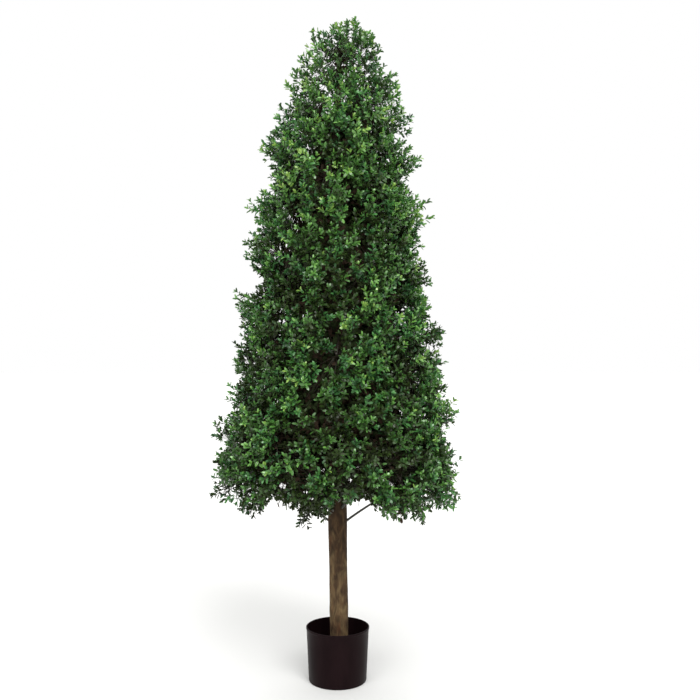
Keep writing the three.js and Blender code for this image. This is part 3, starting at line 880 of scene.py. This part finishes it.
def planeOf(out):
    # Two directions square to each of the normals, the first level and the second upwards
    side = unit(np.stack([-out[:, 1], out[:, 0], np.zeros(len(out))], 1) + 1e-6)
    return side, np.cross(out, side)


def growSprays(place, normal, fork):
    # Each clump's sprays as curves from its fork, spread over a dome like a sunflower's seeds, the clump
    # that each belongs to, and whether it is clear of the clearings and the top
    share = random.uniform(clump["least"], clump["most"], len(place))
    high = ramp(place[:, 2], clump["thinSpan"])
    dense = share**1.5 * (1 - (1 - clump["thinShare"]) * high)
    count = np.round(spray["each"] * dense + random.uniform(-0.5, 0.5, len(place)))
    count = np.maximum(count, spray["fewest"]).astype(int)
    owner = np.repeat(np.arange(len(place)), count)
    order = np.concatenate([np.arange(n) for n in count])
    far = np.sqrt((order + 0.3) / count[owner])
    turn = order * goldenAngle + np.repeat(random.uniform(0, 6.3, len(place)), count)
    out = normal[owner]
    side, rise = planeOf(out)
    size = clump["radius"] * share[owner]
    off = turned(side, rise, turn) * (size * far)[:, None]
    height = clump["dome"] * share[owner] * (1 - 1.4 * far**2) + random.normal(0, 0.004, len(out))
    whips = spray["whips"] + (spray["highWhips"] - spray["whips"]) * airAt(place[owner])
    height += (whips * random.exponential(1, len(out))).clip(0, spray["longestWhip"])
    tip = place[owner] + off + out * height[:, None]
    heading = out * spray["outwards"] + off / size[:, None] * spray["apart"]
    heading = heading + random.normal(0, spray["sway"], out.shape)
    heading[:, 2] += np.where(out[:, 2] < -0.3, spray["liftBelow"], spray["lift"])
    heading = unit(heading)
    root = fork[owner] + random.normal(0, spray["forkRound"], out.shape)
    root = root + out * (spray["forkAlong"] * (order / count[owner]))[:, None]
    reach = np.linalg.norm(tip - root, axis=1)[:, None]
    bend = tip - heading * reach * spray["bend"]
    clear = ~isOpen(tip, clearings) & ~isOpen(bend, clearings)
    clear &= ~isAboveTop(tip)
    return [root, bend, tip], owner, clear


# A leaf's outline from its stalk round by its tip, in shares of its length and width, and its two sides'
# faces: flat bands across above, and a keel along the middle below
leafOutline = [(0, 0), (0.32, 0.45), (0.82, 0.37), (1, 0), (0.82, -0.37), (0.32, -0.45)]
leafAbove = [(0, 5, 1), (1, 5, 4), (1, 4, 2), (2, 4, 3)]
leafBelow = [(0, 1, 2), (0, 2, 3), (0, 3, 4), (0, 4, 5)]


def leafMesh(root, along, facing, length, width):
    # Leaves as closed shapes of eight faces, cupped along the middle, from their places and directions
    facing = unit(facing - along * np.sum(facing * along, axis=1, keepdims=True))
    across = np.cross(facing, along)
    margin = np.array(leafOutline)
    cup = np.abs(margin[:, 1]) * leaf["cup"] - leaf["curl"] * margin[:, 0] ** 2
    points = (root[:, None] + along[:, None] * margin[:, 0, None] * length[:, None, None]
              + across[:, None] * margin[:, 1, None] * width[:, None, None]
              + facing[:, None] * cup[:, None] * length[:, None, None])
    one = np.array(leafAbove + leafBelow)
    triangles = one[None] + np.arange(len(root))[:, None, None] * len(margin)
    return points.reshape(-1, 3), triangles.reshape(-1, 3)


def growLeaves(curve):
    # Pairs of leaves crosswise along each spray and a rosette at its tip: their places, directions, faces
    # and sizes, the spray that each is on, and its pair, from 0 at the tip
    controls = [np.asarray(control) for control in curve]
    length = np.linalg.norm(controls[2] - controls[0], axis=1)
    count = len(length)
    turn = random.uniform(0, 2 * math.pi, count)
    grown = []
    for pair in range(-1, spray["pairs"] + 1):
        back = np.maximum(pair, 0) * spray["pairGap"] * random.uniform(0.85, 1.15, count)
        share = np.clip(1 - (back + 0.002 * (pair >= 0)) / length, 0, 1)
        spot = bezier(controls, share[:, None])[:, 0]
        ahead = bezier(controls, np.clip(share + 0.02, 0, 1.02)[:, None])[:, 0]
        heading = unit(ahead - spot)
        first = unit(np.cross(heading, [0.13, 0.21, 0.97]))
        second = np.cross(heading, first)
        for half in (0, 1):
            bearing = turn + pair * math.pi / 2 + half * math.pi + random.normal(0, leaf["turnSway"], count)
            side = turned(first, second, bearing)
            opening = math.radians(leaf["opening"] + leaf["openingStep"] * max(pair, 0))
            opening = opening + random.normal(0, leaf["openingSway"], count)
            facing = turned(-side, heading, opening) + np.array([0, 0, leaf["skywards"]])
            facing = facing + random.normal(0, leaf["tilt"], facing.shape)
            size = random.uniform(leaf["least"], leaf["most"], count) * (leaf["young"] if pair < 1 else 1)
            grown.append((spot + side * leaf["off"], unit(turned(heading, side, opening)), facing, size,
                          np.arange(count), np.full(count, max(pair, 0))))
    return [np.concatenate(part) for part in zip(*grown)]


# Small openings where the sky shows through, as seen from the front: x, z, half width and half height in
# millimetres, first those in the top, then those along both sides and low down. Leaves stay out of them.
openings = [
    (-75, 1695, 10, 9), (-40, 1720, 6, 12), (-15, 1690, 9, 8), (10, 1690, 10, 7), (70, 1725, 8, 12),
    (90, 1730, 8, 7), (110, 1715, 8, 8), (85, 1695, 10, 8), (70, 1675, 8, 8), (80, 1660, 9, 7),
    (-60, 1660, 9, 10), (-45, 1625, 9, 9), (-25, 1605, 7, 10), (-55, 1575, 7, 9), (-110, 1645, 9, 8),
    (-105, 1615, 8, 9), (155, 1610, 7, 9), (-155, 1555, 8, 9), (165, 1490, 9, 9), (-165, 1475, 9, 7),
    (-190, 1425, 8, 9), (180, 1370, 8, 8), (-180, 1170, 12, 10), (-210, 1090, 9, 9), (-250, 865, 8, 9),
    (-310, 655, 11, 12), (290, 680, 10, 9), (320, 595, 12, 9), (-150, 525, 15, 12), (-90, 510, 13, 11),
    (-70, 490, 10, 8), (-115, 605, 17, 12), (-40, 565, 12, 14), (55, 575, 12, 17), (35, 540, 11, 16),
    (150, 530, 14, 12), (120, 595, 13, 11), (200, 570, 15, 12),
]
# The larger clear spaces under the crown and beside the trunk, which twigs don't cross either
clearings = [(-176, 452, 16, 38), (8, 448, 29, 34), (66, 455, 34, 38)]


def isOpen(place, spaces):
    # Whether a spot lies on a line of sight from the front through one of the spaces
    seen = fromFront(place)
    hit = np.zeros(len(place), bool)
    for x, z, wide, tall in np.array(spaces) / 1000:
        hit |= ((seen[:, 0] - x) / wide) ** 2 + ((seen[:, 2] - z) / tall) ** 2 < 1
    return hit


def isAboveTop(place):
    # Whether a spot in the crown's top is seen above its outline
    seen = fromFront(place)
    return (place[:, 2] > seenOutline["top"][0][1]) & (seen[:, 2] > topAt(seen[:, 0]) + 0.002)


# Heights, and how far from the trunk's middle the leaves stay there
trunkSpace = ((0.600, 1.300, 1.640, 1.680), (0.036, 0.026, 0.010, 0))


def keptLeaves(root, along, size):
    middle = root + along * (size * leaf["length"] / 2)[:, None]
    clearRadius = np.interp(middle[:, 2], *trunkSpace)
    clearOfTrunk = np.hypot(middle[:, 0], middle[:, 1]) > clearRadius
    inside = (middle[:, 2] > crown["lowest"]) & (middle[:, 2] < crown["top"] + 0.004)
    inside &= np.abs(middle[:, 1]) < crown["furthest"]
    return clearOfTrunk & inside & ~isOpen(middle, openings + clearings)


def addFoliage(name, points, triangles, material):
    piece = pieceFromArrays(name, points, triangles, 50)
    finishPiece(piece, material, massNodes)


def addTwigs(name, curve, wood):
    steps, rootRadius, tipRadius, sides = twigSizes[name]
    points, triangles = tubes(bezier(curve, np.linspace(0, 1, steps)), rootRadius, tipRadius, sides)
    addFoliage(name, points, triangles, wood)


def growCrown(stems):
    # The clumps with their branches, the sprays and the leaves, and which of the leaves are kept
    place, normal = placeClumps()
    branches, clearBranch = growBranches(place, normal, stems)
    curve, owner, clearSpray = growSprays(place, normal, branches[-1])
    clearSpray &= clearBranch[owner]
    leaves = growLeaves(curve)
    root, along, facing, size, sprayOf, age = leaves
    kept = keptLeaves(root, along, size) & clearSpray[sprayOf] & (random.random(len(size)) < leaf["share"])
    return (place, normal), (branches, clearBranch), (curve, owner, clearSpray), leaves, kept


def shapeCrown(stems):
    # Grows the crown over and over from the same draws, each time nearer to its outline
    draws = random.bit_generator.state
    for number in range(shaping["rounds"]):
        (root, along, facing, size, sprayOf, age), kept = growCrown(stems)[3:]
        tips = root + along * (size * leaf["length"] * 0.8)[:, None]
        missing = moveTowardsOutline(tips[kept])
        random.bit_generator.state = draws
    print("outline: off by", round(missing * 1000, 1), "mm on average")


# Tones are places in the list of kinds, so a higher one is darker
toning = {
    # Painted light and shade: the crown is dealt lighter kinds high up and darker ones low down, where less
    # light reaches
    "heights": (0.50, 0.60, 1.10, 1.35, 1.70),
    "tones": (4.7, 4.3, 4.0, 3.4, 2.6),  # at these heights
    "clumps": 1.0,      # how far clumps differ, and at most
    "clumpsMost": (-1.2, 2.0),
    # Painted light: groups that stand out are dealt lighter kinds, as if they catch more light
    "swells": 0.45,     # how much lighter whole groups are that stand out
    "right": 1.8,       # how much lighter a metre to the right is, where the key lamp stands,
    "rightSpan": (1.35, 1.15),  # setting in from this height down to this
    # Painted shade: sprays further inside the crown are dealt darker kinds
    "inwards": ((1.45, 1.60), (40, 8)),  # heights, and how much darker a metre further in is there
    "depth": 0.030,     # how far in that part is 0, and its limits
    "most": (-0.8, 1.6),
    "sprays": 0.75,     # how far a clump's sprays differ, and a spray's leaves
    "leaves": 0.6,
    "young": 0.8,       # how much lighter the leaves at a tip are, and how much darker each pair back
    "pair": 0.35,
}
leavesInPiece = 24000       # at most, so that a piece stays under 200,000 triangles


def makeCrown():
    stems = stemControls()
    shapeCrown(stems)
    (place, normal), (branches, clearBranch), (curve, owner, clearSpray), leaves, kept = growCrown(stems)
    root, along, facing, size, sprayOf, age = leaves
    print("crown:", clearBranch.sum(), "clumps,", clearSpray.sum(), "sprays,", kept.sum(), "leaves")

    # Each clump has its own tone, made lighter by painted light high up, to the right and where groups stand
    # out, its sprays vary about it and are painted darker inwards as shade, and their tips are younger
    clumpTone = np.interp(place[:, 2], toning["heights"], toning["tones"])
    clumpTone += random.normal(0, toning["clumps"], len(place)).clip(*toning["clumpsMost"])
    clumpTone -= toning["swells"] * swellAt(place)
    clumpTone -= toning["right"] * place[:, 0] * ramp(place[:, 2], toning["rightSpan"])
    sprayTone = clumpTone[owner] + random.normal(0, toning["sprays"], len(owner))
    inwardShade = np.interp(curve[2][:, 2], *toning["inwards"])
    sprayTone += np.clip((depthOf(curve[2]) - toning["depth"]) * inwardShade, *toning["most"])
    ageTone = np.where(age == 0, -toning["young"], toning["pair"] * age - 0.5)
    tone = sprayTone[sprayOf] + ageTone + random.normal(0, toning["leaves"], len(age))
    root, along, facing, size, tone = (part[kept] for part in (root, along, facing, size, tone))
    kind = np.clip(np.round(tone), 0, toneKinds - 1).astype(int)
    bluer = (random.random(len(owner)) < bluerShare)[sprayOf[kept]]
    middle = (kind >= bluerFrom) & (kind < bluerFrom + len(leafKinds) - toneKinds)
    kind = np.where(bluer & middle, kind + toneKinds - bluerFrom, kind)
    for number, name in enumerate(leafKinds):
        chosen = np.flatnonzero(kind == number)
        material = makeLeafPlastic(name)
        parts = np.array_split(chosen, max(1, math.ceil(len(chosen) / leavesInPiece)))
        for part, index in enumerate(parts):
            length = leaf["length"] * size[index]
            width = leaf["width"] * size[index]
            points, triangles = leafMesh(root[index], along[index], facing[index], length, width)
            addFoliage(f"{name}_leaves_{part + 1}", points, triangles, material)
        print("leaves:", name, len(chosen))

    wood = makeTwigPlastic()
    addTwigs("spray_twigs", [part[clearSpray] for part in curve], wood)
    branches = [part[clearBranch] for part in branches]
    addTwigs("branches", branches, wood)
    controls = list(np.array(list(stems.values())).transpose(1, 0, 2))
    addTwigs("stems", controls, wood)
    # The dark leaves inside the crown are painted shade
    dark = [makeShadeLeafPlastic(name) for name in shadeLeafLooks]
    makeInnerGrowth(place[clearBranch], normal[clearBranch], branches, wood, dark)
    makeHeart(stems, controls, wood, dark)


# The leaves of these dark sprays are coloured dark as painted shade
inner = {
    "each": 2,          # dark sprays behind each clump
    "leaves": 8,
    "gap": 0.10,        # between leaves, as a share of the spray
    "shallow": 0.050,   # how far behind it
    "deep": 0.100, "spread": 0.040, "length": 0.0175, "width": 0.0098,
    "fadeSpan": (1.440, 1.570),  # heights between which they get fewer
    "under": 0.040,     # how far under the crown's outline they all stay
}
# And these, deeper still, likewise painted shade
heart = {
    "count": 2250,      # dark sprays deeper inside
    "leaves": 10, "gap": 0.06,
    "shallow": 0.085,   # how far under the crown's outline
    "deep": 0.160, "length": 0.027, "width": 0.0146,
    "onStem": 60,       # leaves on each stem
    "top": 1.530,       # none above this height
    "fromTrunk": 0.045, "under": 0.070,
}


whorl = {"outwards": 0.25, "tilt": 0.3}


def growWhorls(curve, out, turn, looks):
    # Leaves singly round each dark spray, back from its tip
    side, rise = planeOf(out)
    grown = []
    for number in range(looks["leaves"]):
        root = bezier(curve, np.full((len(out), 1), 1 - looks["gap"] * number))[:, 0]
        along = turned(side, rise, turn + number * goldenAngle) + out * whorl["outwards"]
        grown.append((root, along, out + random.normal(0, whorl["tilt"], out.shape)))
    return grown


def addDarkLeaves(name, grown, looks, dark):
    root, along, facing = (np.concatenate(part) for part in zip(*grown))
    along = unit(along)
    size = looks["length"] / leaf["length"] * random.uniform(0.8, 1.15, len(root))
    kept = (depthOf(root + along * 0.01) > looks["under"]) & keptLeaves(root, along, size)
    brown = random.random(len(root)) < brownShare
    for number, chosen in enumerate((kept & brown, kept & ~brown)):
        length = leaf["length"] * size[chosen]
        width = length * looks["width"] / looks["length"]
        points, triangles = leafMesh(root[chosen], along[chosen], facing[chosen], length, width)
        addFoliage(f"{name}_{number + 1}", points, triangles, dark[number])
        print(name, len(length))


def makeInnerGrowth(place, normal, branches, wood, dark):
    # Sprays of leaves painted dark as shade off the branches, which close the view inwards
    fading = ramp(place[:, 2], inner["fadeSpan"])
    owner = np.repeat(np.flatnonzero(random.random(len(place)) > fading), inner["each"])
    out = normal[owner]
    limbs = [np.asarray(control)[owner] for control in branches]
    root = bezier(limbs, random.uniform(0.45, 1.0, len(owner))[:, None])[:, 0]
    side, rise = planeOf(out)
    turn = np.arange(len(owner)) * goldenAngle
    off = inner["spread"] * np.sqrt(random.uniform(0.05, 1, len(owner)))[:, None]
    depth = random.uniform(inner["shallow"], inner["deep"], len(owner))[:, None]
    tip = place[owner] - out * depth + turned(side, rise, turn) * off
    curve = [root, (root + tip) / 2 + np.array([0, 0, 0.008]), tip]
    addTwigs("inner_twigs", curve, wood)
    addDarkLeaves("inner_leaves", growWhorls(curve, out, turn, inner), inner, dark)


def makeHeart(stems, controls, wood, dark):
    # Sprays of leaves painted dark as shade about the stems, spread evenly so that nothing is seen through
    # the crown
    place, normal, angle = spreadOver(crownOutline(), heart["count"])
    place = place - normal * random.uniform(heart["shallow"], heart["deep"], len(place))[:, None]
    low = (place[:, 2] < heart["top"]) & (np.hypot(place[:, 0], place[:, 1]) > heart["fromTrunk"])
    place, normal = place[low], normal[low]
    curve, clear = growBranches(place, normal, stems)
    normal, curve = normal[clear], [part[clear] for part in curve]
    addTwigs("heart_twigs", curve, wood)
    grown = growWhorls(curve, normal, np.arange(len(normal)), heart)
    for number in range(heart["onStem"]):
        spot = bezier(controls, random.uniform(0.05, 0.85, (len(stems), 1)))[:, 0]
        along = random.normal(0, 1, spot.shape)
        grown.append((spot, along, unit(spot * [1, 1, 0]) + random.normal(0, 0.4, spot.shape)))
    addDarkLeaves("heart_leaves", grown, heart, dark)


makeStudio()
print("studio done")
makePot()
makeFill()
print("pot done")
makeTrunk()
makeBoughs()
print("trunk and boughs done")
makeCrown()
print("crown done")
